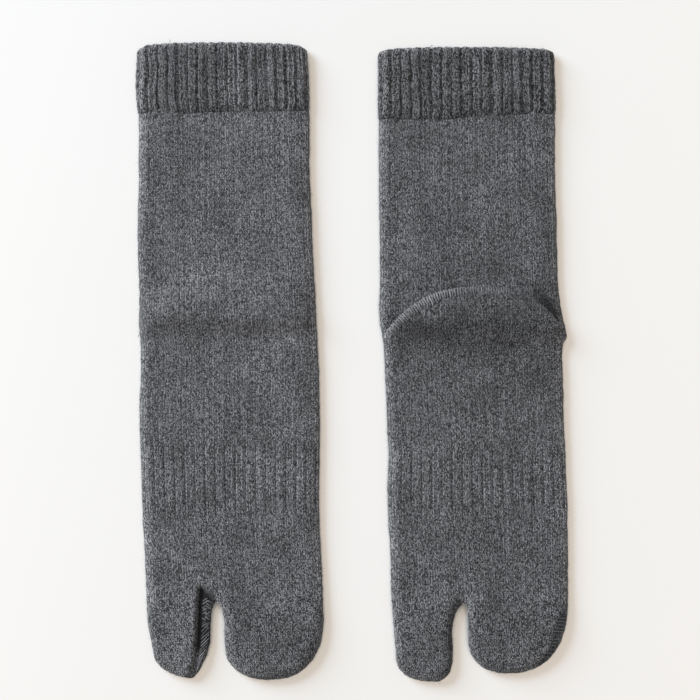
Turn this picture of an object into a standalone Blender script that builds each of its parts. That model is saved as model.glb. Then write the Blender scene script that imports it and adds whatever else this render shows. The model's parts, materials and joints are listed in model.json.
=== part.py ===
# A pair of knitted tabi socks laid flat: the left sock instep up, the right sock sole up.
# Each sock is six knitted sections: ribbed cuff, leg, heel pocket, foot, big toe pocket and
# the pocket of the other four toes. X runs across the pair, Y along the socks with the cuffs
# at +Y, and Z up from the surface they lie on. Units are metres.
import math
from collections import namedtuple

import bmesh
import bpy
import numpy as np
from mathutils.kdtree import KDTree

MM = 0.001

# Driving dimensions of the pair
PAIR_LENGTH = 331.8 * MM  # the left sock, from its cuff's edge to its toe tips
SEAM_GAP = 0.3 * MM  # between two knitted sections, and between layers that lie on each other
WALL = {"cuff": 2.1 * MM, "plain": 1.8 * MM, "heel": 1.5 * MM}
LAID = {"cuff": 5.6 * MM, "plain": 4.8 * MM, "heel": 3.6 * MM, "toe": 5.8 * MM}  # overall thickness
CUFF_LENGTH = 35 * MM
HEEL_RISE = 25.2 * MM  # how far the folded heel pocket reaches over the leg
HEEL_POWER = 2.8  # shape of the heel pocket's curved fold
HEEL_INSET = 1.2 * MM  # between the heel pocket's corners and the leg's side folds
LIFT = LAID["heel"] + SEAM_GAP  # how far the heel pocket raises what lies over it
LIFT_MARGIN = 6.5 * MM  # the leg stays raised this far past the pocket's fold
LIFT_REACH = 9 * MM  # over which it then comes down again
FOOT_REACH = 14 * MM  # over which the foot comes down again past the heel
COLLAR = 1 * MM  # a section keeps its end's shape this far, so that its cut edge is square
RIM_BOW = 1.2 * MM  # how far the cuff's edge bows down towards its side folds
RIM_CORNER = 2.4 * MM  # and how much further it turns down at the folds themselves
RIM_CORNER_POWER = 14

# Steps across one layer: on each side fold's rounding, and between the two folds
FOLD_STEPS = 3
FLAT_STEPS = {"cuff": 4, "plain": 8, "heel": 6, "toe": 3}
CROWDING = 1.25  # how much closer the flat steps are near the folds, as an angle
OUTLINE_STEP = 0.5 * MM  # between the outline points that a layer's thickness is measured from
OUTLINE_PAST = 15 * MM  # how far that outline runs past a section's open ends
TIP_ROWS = 6  # the last sections of a toe pocket, closer together towards its tip

Side = namedtuple("Side", "down x")  # a side fold, in mm below the cuff's edge and across
Tip = namedtuple("Tip", "down x inner_power outer_power")  # a toe pocket's end, and how full it is

# Both side folds of each sock, from its cuff's edge to the shoulders of its toe pockets
LEFT = {
    "axis_x": -63.34 * MM,
    "cuff_drop": 0.0,
    "heel_down": 151 * MM,  # the crease where leg and heel pocket meet
    "crotch": Side(289.6, -7.7),
    "big_side": [
        Side(0, -48.6), Side(34, -48.8), Side(39, -47.7), Side(70, -47.7), Side(102, -48.3),
        Side(130, -47.3), Side(149, -47.4), Side(153, -47.0), Side(192, -47.3), Side(242, -45.7),
        Side(279, -44.1), Side(300, -43.1), Side(318, -40.0),
    ],
    "little_side": [
        Side(0, 39.6), Side(34, 40.9), Side(70, 41.2), Side(102, 42.6), Side(147, 44.9),
        Side(179, 46.2), Side(192, 46.4), Side(242, 46.1), Side(258, 46.5), Side(279, 47.9),
        Side(300, 48.4),
    ],
    "big_inner": [Side(289.6, -7.7), Side(295, -9.6), Side(305, -10.3), Side(311, -10.5)],
    "four_inner": [Side(289.6, -7.7), Side(293, -4.9), Side(298, -3.7), Side(313, -3.0)],
    "big_tip": Tip(330.0, -20.1, 1.4, 1.75),
    "four_tip": Tip(331.8, 21.4, 2.3, 2.3),
    "heel_apex_x": -3 * MM,
    "heel_under": True,
}
RIGHT = {
    "axis_x": 62.66 * MM,
    "cuff_drop": 2.3 * MM,  # its cuff's edge lies this far below the left sock's
    "heel_down": 150 * MM,
    "crotch": Side(288.3, -5.0),
    "big_side": [
        Side(0, -49.3), Side(31, -49.5), Side(69, -49.0), Side(123, -48.4), Side(143, -48.4),
        Side(153, -46.7), Side(173, -45.8), Side(206, -44.3), Side(240, -44.3), Side(256, -43.5),
        Side(289, -42.2), Side(316, -40.1),
    ],
    "little_side": [
        Side(0, 41.6), Side(31, 42.6), Side(69, 42.6), Side(100, 43.6), Side(123, 44.1),
        Side(140, 46.2), Side(149, 48.6), Side(153, 46.6), Side(173, 46.7), Side(206, 47.6),
        Side(240, 49.0), Side(256, 49.2), Side(287, 49.3),
    ],
    "big_inner": [Side(288.3, -5.0), Side(293, -9.0), Side(298, -10.3), Side(316, -10.5)],
    "four_inner": [Side(288.3, -5.0), Side(292, -3.1), Side(298, -2.9), Side(307, -2.6)],
    "big_tip": Tip(329.4, -19.3, 2.0, 2.4),
    "four_tip": Tip(325.0, 18.1, 2.3, 2.35),
    "heel_apex_x": 5.6 * MM,
    "heel_under": False,
}
# Where the sections of a tube lie, as shares of its length
CUFF_SECTIONS = (0, 1)
LEG_SECTIONS = (0, 0.35, 0.64, 0.69, 0.74, 0.79, 0.84, 0.89, 0.94, 1)
FOOT_SECTIONS = (0, 0.02, 0.045, 0.08, 0.12, 0.4, 0.7, 1)
HEEL_SECTIONS = (0, 0.2, 0.4, 0.6, 0.76, 0.88, 0.96)
POCKET_SECTIONS = (0, 0.3, 0.65)  # of a toe pocket's straight part, above its end

MATERIALS = {
    "marl_knit": {"colour": (0.118, 0.119, 0.126, 1), "roughness": 0.95},
    "rib_knit": {"colour": (0.092, 0.093, 0.099, 1), "roughness": 0.95},
}


def smooth_step(share):
    share = np.clip(share, 0, 1)
    return share * share * (3 - 2 * share)


def smooth_curve(table):
    """A function of the distance below the cuff that runs smoothly through a side's points."""
    down = np.array([row.down for row in table]) * MM
    across = np.array([row.x for row in table]) * MM
    slopes = np.gradient(across, down)

    def at(place):
        place = np.clip(place, down[0], down[-1])
        i = np.clip(np.searchsorted(down, place, side="right") - 1, 0, len(down) - 2)
        span = down[i + 1] - down[i]
        t = (place - down[i]) / span
        bend = t * (1 - t) * span * ((1 - t) * slopes[i] - t * slopes[i + 1])
        return across[i] + (across[i + 1] - across[i]) * smooth_step(t) + bend

    return at


def pocket_side(table, tip, power):
    """A toe pocket's side: smooth to its last point, its shoulder, then a quarter of a
    superellipse round to the tip."""
    straight = smooth_curve(table)
    shoulder = table[-1]
    drop = (tip.down - shoulder.down) * MM
    reach = (tip.x - shoulder.x) * MM

    def at(place):
        share = np.clip((place - shoulder.down * MM) / drop, 0, 1)
        rounded = (1 - share**power) ** (1 / power)
        return straight(place) + reach * (1 - rounded)

    return at


def heel_arc(sock, x):
    """How far above the crease the heel pocket's fold lies."""
    low = smooth_curve(sock["big_side"])(sock["heel_down"]) + HEEL_INSET
    high = smooth_curve(sock["little_side"])(sock["heel_down"]) - HEEL_INSET
    apex = sock["heel_apex_x"]
    half = np.where(x < apex, apex - low, high - apex)
    share = np.clip(np.abs(x - apex) / half, 0, 1)
    return HEEL_RISE * (1 - share**HEEL_POWER)


def heel_side(sock, sign):
    """The heel pocket's side on one side of its apex, as a function of the height over the crease."""
    table = sock["big_side"] if sign < 0 else sock["little_side"]
    corner = smooth_curve(table)(sock["heel_down"]) - sign * HEEL_INSET
    apex = sock["heel_apex_x"]

    def at(height):
        share = (1 - np.clip(height / HEEL_RISE, 0, 1)) ** (1 / HEEL_POWER)
        return apex + (corner - apex) * share

    return at


def lift_over_heel(sock, x, down):
    """How far the folded heel pocket raises the layer that passes over it."""
    arc = heel_arc(sock, x)
    above = sock["heel_down"] - down - arc - LIFT_MARGIN  # towards the cuff
    below = down - sock["heel_down"] - COLLAR  # towards the toes
    return LIFT * (1 - smooth_step(above / LIFT_REACH)) * (1 - smooth_step(below / FOOT_REACH))


def across_layer(low, high, kind):
    """Points across a layer from one side fold to the other, closest on the folds' rounding."""
    turn = np.linspace(0, math.pi / 2, FOLD_STEPS + 1)
    radius = LAID[kind] / 2
    rounding = radius * (1 - np.cos(turn)) * min(1, (high - low) / (3 * radius))
    spread = np.sin(np.linspace(-CROWDING, CROWDING, FLAT_STEPS[kind] + 1)[1:-1])
    half = (high - low) / 2 - rounding[-1]
    flat = (low + high) / 2 + half * spread / math.sin(CROWDING)
    return np.concatenate([low + rounding, flat, (high - rounding)[::-1]])


def fold_height(distance, thickness):
    """Half the thickness of the laid tube, from nothing at its fold to full past the rounding."""
    radius = thickness / 2
    inside = 1 - np.clip(distance / radius, 0, 1)
    return radius * np.sqrt(1 - inside**2)


def distances(points, outline):
    """How far each point of the plan is from an outline."""
    tree = KDTree(len(outline))
    for i, (x, down) in enumerate(outline):
        tree.insert((x, down, 0), i)
    tree.balance()
    return np.array([tree.find((x, down, 0))[2] for x, down in points])


def both_sides(low_side, high_side, start, end):
    """Close points along both sides of a section's plan, running past its open ends."""
    place = np.arange(start, end, OUTLINE_STEP)
    low = np.stack([low_side(place), place], axis=1)
    high = np.stack([high_side(place), place], axis=1)
    return np.concatenate([low, high])


def section_ring(low, high, down, outline, kind, base=None, lift=None):
    """One section: along the upper layer to the far fold, and back along the lower layer.
    base raises both layers, and lift raises the upper one."""
    thickness = LAID[kind]
    x = across_layer(low, high, kind)
    half = fold_height(distances([(p, down) for p in x], outline), thickness)
    half[0] = half[-1] = 0
    floor = base(x, down) if base else 0
    height = thickness + (lift(x, down) if lift else 0)
    upper = floor + height / 2 * (1 + half / (thickness / 2))
    lower = floor + height / 2 * (1 - half / (thickness / 2))
    over = [(p, -down, z) for p, z in zip(x, upper)]
    back = [(p, -down, z) for p, z in zip(x[-2:0:-1], lower[-2:0:-1])]
    return over + back


def moved_along(ring, distance):
    return [(x, y + distance, z) for x, y, z in ring]


def knit_wall(name, rings, tip, wall, material, sock_empty):
    """A knitted section: the skin through its rings, closed at the tip if it has one, and
    given its wall inwards."""
    mesh = bpy.data.meshes.new(name)
    skin = bmesh.new()
    collar = math.copysign(COLLAR, rings[-1][0][1] - rings[0][0][1])
    rings = [rings[0], moved_along(rings[0], collar)] + rings[1:]
    if not tip:
        rings = rings[:-1] + [moved_along(rings[-1], -collar), rings[-1]]
    rows = [[skin.verts.new(point) for point in ring] for ring in rings]
    around = len(rows[0])
    for upper, lower in zip(rows, rows[1:]):
        for i in range(around):
            k = (i + 1) % around
            skin.faces.new((upper[i], lower[i], lower[k], upper[k]))
    if tip:
        end = skin.verts.new(tip)
        for i in range(around):
            skin.faces.new((rows[-1][i], end, rows[-1][(i + 1) % around]))
    skin.to_mesh(mesh)
    skin.free()
    mesh.materials.append(material)
    mesh.shade_smooth()
    section = bpy.data.objects.new(name, mesh)
    section.parent = sock_empty
    socks.objects.link(section)
    solidify = section.modifiers.new("wall", "SOLIDIFY")
    solidify.thickness = wall
    solidify.offset = -1
    return section


def tube(sock, shares, start, end, kind, base=None, lift=None, rim_drop=None):
    """The rings of an open tube between two stations. rim_drop lowers its first edge at the folds."""
    low_side = smooth_curve(sock["big_side"])
    high_side = smooth_curve(sock["little_side"])
    outline = both_sides(low_side, high_side, start - OUTLINE_PAST, end + OUTLINE_PAST)
    rings = []
    for share in shares:
        down = start + share * (end - start)
        low, high = float(low_side(down)), float(high_side(down))
        ring = section_ring(low, high, down, outline, kind, base, lift)
        if rim_drop:
            middle, half = (low + high) / 2, (high - low) / 2
            ring = [
                (x, y - rim_drop(abs(x - middle) / half) * (1 - share), z) for x, y, z in ring
            ]
        rings.append(ring)
    return rings


def toe_pocket(sock, low_side, high_side, shoulder_down, tip, start):
    """The rings and the tip of a closed toe pocket, from the split to its tip."""
    tip_down = tip.down * MM
    outline = both_sides(low_side, high_side, start - OUTLINE_PAST, tip_down)
    straight = shoulder_down * MM - start
    places = [start + share * straight for share in POCKET_SECTIONS]
    turn = np.arange(TIP_ROWS) / TIP_ROWS * math.pi / 2
    places += list(start + straight + (tip_down - start - straight) * np.sin(turn))
    rings = [
        section_ring(float(low_side(down)), float(high_side(down)), down, outline, "toe")
        for down in places
    ]
    return rings, (tip.x * MM, -tip_down, LAID["toe"] / 2)


def heel_pocket(sock):
    """The folded heel pocket: a half moon with its mouth at the crease, closed along its fold."""
    low_side, high_side = heel_side(sock, -1), heel_side(sock, 1)
    height = HEEL_RISE * np.sin(np.arange(0, math.pi / 2, OUTLINE_STEP / HEEL_RISE))
    outline = [(float(side(h)), float(h)) for h in height for side in (low_side, high_side)]
    crease = sock["heel_down"] - SEAM_GAP / 2
    floor = 0 if sock["heel_under"] else LAID["plain"] + SEAM_GAP
    rings = []
    for share in HEEL_SECTIONS:
        h = share * HEEL_RISE
        low, high = float(low_side(h)), float(high_side(h))
        ring = section_ring(low, high, h, outline, "heel")
        rings.append([(x, h - crease, z + floor) for x, _, z in reversed(ring)])
    tip = (sock["heel_apex_x"], HEEL_RISE - crease, floor + LAID["heel"] / 2)
    return rings, tip


def cuff_rim_drop(share):
    """The cuff's edge bows a little and turns down at the side folds."""
    return RIM_BOW * share**2 + RIM_CORNER * share**RIM_CORNER_POWER


def build_sock(name, sock):
    empty = bpy.data.objects.new(name + "_sock", None)
    empty.location = (sock["axis_x"], PAIR_LENGTH / 2 - sock["cuff_drop"], 0)
    socks.objects.link(empty)
    heel, crotch, seam = sock["heel_down"], sock["crotch"].down * MM, SEAM_GAP / 2

    def lift(x, down):
        return lift_over_heel(sock, x, down)

    under = sock["heel_under"]
    rings = tube(sock, CUFF_SECTIONS, 0, CUFF_LENGTH - seam, "cuff", rim_drop=cuff_rim_drop)
    knit_wall(name + "_cuff", rings, None, WALL["cuff"], rib_knit, empty)
    rings = tube(
        sock, LEG_SECTIONS, CUFF_LENGTH + seam, heel - seam, "plain",
        base=lift if under else None,
    )
    knit_wall(name + "_leg", rings, None, WALL["plain"], marl_knit, empty)
    rings, tip = heel_pocket(sock)
    knit_wall(name + "_heel_pocket", rings, tip, WALL["heel"], marl_knit, empty)
    rings = tube(sock, FOOT_SECTIONS, heel + seam, crotch - seam, "plain", lift=lift)
    knit_wall(name + "_foot", rings, None, WALL["plain"], marl_knit, empty)

    outer = pocket_side(sock["big_side"], sock["big_tip"], sock["big_tip"].outer_power)
    inner = pocket_side(sock["big_inner"], sock["big_tip"], sock["big_tip"].inner_power)
    rings, tip = toe_pocket(
        sock, outer, lambda down: inner(down) - seam,
        sock["big_inner"][-1].down, sock["big_tip"], crotch + seam,
    )
    knit_wall(name + "_big_toe", rings, tip, WALL["plain"], marl_knit, empty)
    outer = pocket_side(sock["little_side"], sock["four_tip"], sock["four_tip"].outer_power)
    inner = pocket_side(sock["four_inner"], sock["four_tip"], sock["four_tip"].inner_power)
    rings, tip = toe_pocket(
        sock, lambda down: inner(down) + seam, outer,
        sock["four_inner"][-1].down, sock["four_tip"], crotch + seam,
    )
    knit_wall(name + "_four_toes", rings, tip, WALL["plain"], marl_knit, empty)


def knit_material(name):
    material = bpy.data.materials.new(name)
    material.use_nodes = True
    shader = material.node_tree.nodes["Principled BSDF"]
    shader.inputs["Base Color"].default_value = MATERIALS[name]["colour"]
    shader.inputs["Roughness"].default_value = MATERIALS[name]["roughness"]
    shader.inputs["Metallic"].default_value = 0
    return material


for old in list(bpy.data.objects):
    bpy.data.objects.remove(old)
socks = bpy.data.collections.new("tabi_socks")
bpy.context.scene.collection.children.link(socks)
marl_knit = knit_material("marl_knit")
rib_knit = knit_material("rib_knit")
build_sock("left", LEFT)
build_sock("right", RIGHT)
bpy.context.view_layer.update()
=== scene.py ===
import json
import math

import bmesh
import bpy
import numpy as np
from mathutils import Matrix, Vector, noise
from mathutils.bvhtree import BVHTree
from mathutils.kdtree import KDTree

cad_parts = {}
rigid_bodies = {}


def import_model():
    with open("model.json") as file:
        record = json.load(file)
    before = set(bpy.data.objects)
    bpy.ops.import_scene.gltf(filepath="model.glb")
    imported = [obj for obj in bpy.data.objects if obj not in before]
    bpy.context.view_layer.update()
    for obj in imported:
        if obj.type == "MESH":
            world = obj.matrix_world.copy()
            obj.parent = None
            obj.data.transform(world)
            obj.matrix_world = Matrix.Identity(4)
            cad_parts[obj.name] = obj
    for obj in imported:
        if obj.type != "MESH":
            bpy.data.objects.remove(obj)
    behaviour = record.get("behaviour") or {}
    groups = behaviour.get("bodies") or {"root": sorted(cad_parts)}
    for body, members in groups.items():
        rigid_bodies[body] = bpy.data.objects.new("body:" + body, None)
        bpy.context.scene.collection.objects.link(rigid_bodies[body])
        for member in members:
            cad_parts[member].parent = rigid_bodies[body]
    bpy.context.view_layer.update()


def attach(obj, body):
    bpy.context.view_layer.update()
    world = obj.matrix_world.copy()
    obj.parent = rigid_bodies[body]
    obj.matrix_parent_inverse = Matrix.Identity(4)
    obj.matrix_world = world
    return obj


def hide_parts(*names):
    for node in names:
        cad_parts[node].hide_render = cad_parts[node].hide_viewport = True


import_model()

mm = 0.001
scene = bpy.context.scene

# Lengths here are in mm, and "down" is the distance below a sock's cuff edge.
knit = {
    "wales": 144,  # stitches round the sock
    "pointsPerWale": 2,
    "coursePitch": 0.9,
    "thick": 4.8,  # both layers of the laid sock
    "toeThick": 5.8,
    "wall": 1.6,
    "foldWidth": 6.5,  # how far the side folds' rounding reaches in
    "bodyStart": 32.0,
    "tuck": 0.5,  # how far the body's first rows lie inside the cuff
    "foldHighlight": (0.42, 0.70),  # painted highlight: how much paler the yarn is drawn at the big and the little side's fold
    "sideWobble": 0.22,
    "wobbleLength": 13.0,
    "rough": [(195, 20, 0.2), (280, 14, 0.8)],  # where the marl gets rougher: (from, over, how much)
}
heel = {
    "rise": 25.2,  # the folded pocket's height over the crease
    "power": 2.8,
    "lift": 3.9,
    "taper": 4.0,  # the pocket thins to its corners over this height
    "press": 2.0,  # how much flatter the leg lies at the crease
    "pressReach": 14.0,
    "gap": 0.25,
    "wallShare": 0.72,
}
leftSock = {
    "name": "left",
    "axisX": -63.34,
    "cuffDrop": 0.0,
    "heelDown": 151.0,
    "heelApexX": -3.0,
    "flapOnTop": False,
    "liftFade": (9.0, -3.0),  # where the heel's lift fades, above the crease
    "heelSoft": (-8.0, 26.0),  # where the layer over the pocket comes down again
    "shade": 0.992,  # how pale the yarn is drawn; the right sock's is lower, a painted shade for the light falling off across the pair
    # the cuff's yarn is drawn darker than the body's: a painted shade of its rib valleys
    "cuffShade": 0.757,
    "cuffContrast": 1.05,  # how strongly the cuff's grooves and flecks show
    "heelRough": 0.0,  # how much rougher the marl is round the heel
    "crotch": (289.6, -7.7),
    # (down, x) of each side fold
    "cuffSide": [(-5, -48.6), (29, -48.8), (32.5, -48.5), (35.2, -47.9), (40, -47.8)],
    # (x, how much lower the cuff ends there)
    "cuffEnd": [(-48, 1.7), (-35, 1.8), (-24, 2.0), (-13, 1.2), (-4, 1.2), (9, 0.9), (23, 0.9), (40, 0.4)],
    "rimCorner": 2.4,
    "bigSide": [
        (-5, -47.8), (34, -47.8), (70, -47.7), (102, -48.3), (130, -47.3), (149, -47.4), (153, -47.0),
        (192, -47.3), (242, -45.7), (279, -44.1), (300, -43.1), (318, -40.0),
    ],
    "littleSide": [
        (-5, 39.6), (34, 40.9), (70, 41.2), (102, 42.6), (147, 44.9), (179, 46.2), (192, 46.4), (242, 46.1),
        (258, 46.5), (279, 47.9), (300, 48.4),
    ],
    "bigInner": [(289.6, -7.7), (295, -9.6), (305, -10.3), (311, -10.5)],
    "fourInner": [(289.6, -7.7), (293, -4.9), (298, -3.7), (313, -3.0)],
    "bigTip": {"down": 330.0, "x": -20.1, "innerPower": 1.4, "outerPower": 1.75},
    "fourTip": {"down": 330.8, "x": 21.4, "innerPower": 2.3, "outerPower": 2.2},
    "archBand": (207.0, 245.0),
    "seed": 3.0,
    # where the big toe's gusset shows: its crease (down, x), and how far it reaches above the split
    "gusset": [
        (282.0, -14.8), (285, -15.3), (290, -16.0), (300, -16.4), (311, -16.9), (318, -17.7), (325, -19.4),
        (332, -22),
    ],
    # painted shade and light, with some uneven tone: (x, down, turn, length, width, strength)
    "shadeAndTonePatches": [
        (-32, 145, -4, 22, 5, 0.09), (26, 149, 3, 24, 7, -0.14), (0, 122, 0, 60, 7, -0.07),
        (3, 281, 80, 14, 6, 0.34), (7, 305, 75, 15, 7, 0.40), (27.5, 311, 10, 12, 8, 0.20),
        (34, 274, 0, 8, 5, -0.14), (-26, 316, 84, 20, 12, -0.14), (30, 300, 0, 30, 30, 0.06),
        (-12.6, 285.6, -25, 5, 3, 0.66), (-33, 46, 88, 18, 6, 0.20), (-24, 88, 86, 36, 9, 0.20),
        (26, 66, 88, 15, 6, -0.14), (26, 108, 88, 16, 6, -0.16), (0, 110, 0, 70, 26, 0.05),
        (0, 226, 0, 60, 18, -0.08), (-28, 178, 88, 24, 9, 0.20), (30, 190, 82, 22, 6, -0.18),
        (37, 231, 88, 12, 8, -0.18), (40, 277, 90, 14, 5, -0.14), (-46, 140, 90, 12, 2.5, 0.42),
        (-18, 274, -38, 12, 3.5, -0.30), (-32, 296, 35, 13, 8, 0.30), (14, 298, 65, 15, 8, 0.12),
        (-11, 209.5, 0, 28, 1.4, 0.14), (10, 326, 6, 16, 3.5, -0.16), (30, 320, 0, 7, 4, 0.16),
        (-19, 300, 90, 12, 2.5, -0.14), (-4, 147.5, 0, 44, 4.5, -0.13), (-3, 138.5, 0, 14, 4, 0.12),
        (-35, 38, 0, 8, 5, 0.14), (40.2, 125, -87.6, 70, 2.6, 0.13), (42, 235, 89, 50, 2.6, 0.13),
        (-12, 228, 0, 16, 6, -0.10), (-14, 247, 0, 16, 7, 0.10),
    ],
    "legShadeAndTonePatches": [],
    "creases": [
        {"x": -18, "down": 146.5, "turn": -5, "length": 30, "width": 3.4, "depth": 0.35},
        {"x": 22, "down": 151.5, "turn": -4, "length": 22, "width": 3.0, "depth": 0.3},
        {"x": -34, "down": 168, "turn": -38, "length": 14, "width": 5.0, "depth": 0.3},
        {"x": 30, "down": 190, "turn": 64, "length": 30, "width": 6.0, "depth": 0.25},
        {"x": -30, "down": 96, "turn": 78, "length": 34, "width": 6.5, "depth": 0.3},
        {"x": 26, "down": 62, "turn": 84, "length": 30, "width": 6.0, "depth": 0.22},
        {"x": 4, "down": 268, "turn": 66, "length": 20, "width": 6.0, "depth": 0.35},
    ],
}
rightSock = {
    "name": "right",
    "axisX": 62.66,
    "cuffDrop": 2.3,
    "heelDown": 150.0,
    "heelApexX": 5.6,
    "flapOnTop": True,
    "liftFade": (9.0, -9.0),
    "heelSoft": (-2.0, 15.0),
    "shade": 0.917,
    "cuffShade": 0.708,
    "cuffContrast": 1.5,
    "heelRough": 0.5,
    "crotch": (288.3, -5.0),
    "cuffSide": [(-5, -49.3), (40, -49.5)],
    "cuffEnd": [
        (-49, 2.3), (-36, 2.9), (-29, 3.3), (-21, 3.0), (-10, 2.3), (-2, 1.5), (4, 1.1), (15, 0.6), (30, 0.4),
        (43, 0.0),
    ],
    "rimCorner": 1.3,
    "bigSide": [
        (-5, -49.0), (31, -49.2), (69, -49.0), (123, -48.4), (143, -48.4), (153, -46.7), (173, -45.8),
        (206, -44.3), (240, -44.3), (256, -43.5), (289, -42.2), (316, -40.1),
    ],
    "littleSide": [
        (-5, 41.6), (31, 42.6), (69, 42.6), (100, 43.6), (123, 44.1), (134, 45.4), (140, 46.4), (144, 47.4),
        (148, 48.4), (151.2, 48.8), (153.2, 47.2), (156, 46.6), (173, 46.7), (206, 47.6), (240, 49.0),
        (256, 49.2), (287, 49.3),
    ],
    "bigInner": [(288.3, -5.0), (293, -8.6), (298, -10.1), (316, -10.5)],
    "fourInner": [(288.3, -5.0), (292, -3.1), (298, -2.9), (307, -2.6)],
    "bigTip": {"down": 329.4, "x": -19.3, "innerPower": 2.2, "outerPower": 2.5},
    "fourTip": {"down": 325.2, "x": 18.1, "innerPower": 2.3, "outerPower": 2.35},
    # the dark gore under the little toe: its inner line (down, x)
    "gore": [
        (290, 46.5), (295.7, 43.3), (300.3, 42.2), (305.9, 40.4), (312.0, 39.0), (316.8, 36.4), (321, 31.5),
    ],
    "archBand": (209.0, 241.0),
    "seed": 11.0,
    "shadeAndTonePatches": [
        (-10, 144, 8, 24, 7, 0.32), (-31, 144.5, -20, 12, 5, 0.36), (18, 146, -8, 24, 9, 0.14),
        (-34, 158, 50, 9, 6, 0.28), (0, 134, 0, 34, 9, 0.13), (2, 154, 0, 32, 10, 0.26),
        (10, 287, 85, 26, 5, 0.42), (-11.0, 306, 88, 22, 2.4, 0.58), (-7.8, 291.5, 66, 6, 2.2, 0.42),
        (19, 320.6, 0, 11, 1.6, 0.30), (10, 172, 0, 60, 20, 0.12), (-33, 172, 84, 16, 8, 0.20),
        (-41, 240, 90, 14, 5, -0.24), (31, 289, 0, 8, 8, -0.22), (32, 311, 35, 12, 5, 0.28),
        (13, 292, 90, 14, 5, 0.10), (-7, 274, 0, 7, 6, -0.18), (-24, 269, 0, 9, 7, 0.18),
        (14, 164, 0, 14, 4, 0.10), (0, 225, 0, 60, 16, -0.10), (-20, 154.5, 0, 10, 4, -0.14),
        (-7, 137.5, 0, 9, 5, -0.14), (45, 147, 90, 6, 3, -0.25), (7, 316, 0, 9, 4, -0.14),
        (20, 305, 0, 18, 14, -0.05), (-42, 185, 88, 34, 2.6, 0.13),
    ],
    # painted shade on the leg layer, with the painted shadow the heel's flap casts past its fold: (x, down, turn,
    # length, width, strength)
    "legShadeAndTonePatches": [
        (38.9, 134.2, -46, 11, 3.1, 0.86), (44, 128, -70, 14, 5, 0.25), (-26, 96, 86, 34, 8, 0.18),
        (4, 79, 84, 10, 6, -0.12), (2, 118, 0, 14, 4, 0.12), (39, 60, 0, 6, 5, 0.16),
        (-48, 55, 90, 8, 2.5, 0.25),
    ],
    "creases": [
        {"x": -24, "down": 152, "turn": 10, "length": 18, "width": 4.0, "depth": 0.4},
        {"x": 20, "down": 158, "turn": -8, "length": 26, "width": 5.0, "depth": 0.3},
        {"x": 8, "down": 268, "turn": 80, "length": 26, "width": 6.0, "depth": 0.4},
        {"x": -32, "down": 110, "turn": 82, "length": 36, "width": 6.0, "depth": 0.25},
        {"x": 28, "down": 84, "turn": 76, "length": 30, "width": 7.0, "depth": 0.28},
        {"x": -20, "down": 262, "turn": 58, "length": 20, "width": 5.0, "depth": 0.3},
    ],
}
pairTop = 165.9


def placeOf(sock, x, down):  # where a point of the plan is, in metres
    return (x + sock["axisX"]) * mm, (pairTop - sock["cuffDrop"] - down) * mm


def smoothStep(t):
    t = np.clip(t, 0, 1)
    return t * t * (3 - 2 * t)


def wobbleOf(seed):  # a slow wander of a side fold
    places = np.arange(-10, 345, 1.0)
    drift = np.array([noise.noise(Vector((d / knit["wobbleLength"], seed, 0.5))) for d in places])
    return lambda down: knit["sideWobble"] * np.interp(down, places, drift)


def sideCurve(rows, seed=None):  # smooth through its (down, x) rows
    down = np.array([row[0] for row in rows], float)
    across = np.array([row[1] for row in rows], float)
    slopes = np.gradient(across, down)
    wobble = wobbleOf(seed) if seed is not None else None

    def at(place):
        held = np.clip(place, down[0], down[-1])
        i = np.clip(np.searchsorted(down, held, side="right") - 1, 0, len(down) - 2)
        span = down[i + 1] - down[i]
        t = (held - down[i]) / span
        bend = t * (1 - t) * span * ((1 - t) * slopes[i] - t * slopes[i + 1])
        x = across[i] + (across[i + 1] - across[i]) * smoothStep(t) + bend
        return x + wobble(place) if wobble else x

    return at


def pocketSide(rows, tip, power, seed=None):  # a toe pocket's side, rounded to its tip
    straight = sideCurve(rows, seed)
    shoulderDown = rows[-1][0]
    drop = tip["down"] - shoulderDown

    def at(place):
        share = np.clip((place - shoulderDown) / drop, 0, 1)
        rounded = (1 - share**power) ** (1 / power)
        x = straight(np.minimum(place, shoulderDown))
        return x + (tip["x"] - x) * (1 - rounded)

    return at


def sockSides(sock):  # x at any distance down, for each of the outline's four sides
    seed = sock["seed"]
    bigTip, fourTip = sock["bigTip"], sock["fourTip"]
    return {
        "big": pocketSide(sock["bigSide"], bigTip, bigTip["outerPower"], seed),
        "little": pocketSide(sock["littleSide"], fourTip, fourTip["outerPower"], seed + 1),
        "bigInner": pocketSide(sock["bigInner"], bigTip, bigTip["innerPower"]),
        "fourInner": pocketSide(sock["fourInner"], fourTip, fourTip["innerPower"]),
    }


def cuffEnd(sock, x):  # how much lower the cuff ends there
    rows = np.array(sock["cuffEnd"])
    return np.interp(x, rows[:, 0], rows[:, 1])


def closeSteps(start, shoulder, end, step=0.12):  # even at first, closer towards a tip
    turn = np.linspace(0, math.pi / 2, 400)
    return np.concatenate([np.arange(start, shoulder, step), shoulder + (end - shoulder) * np.sin(turn)])


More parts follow.
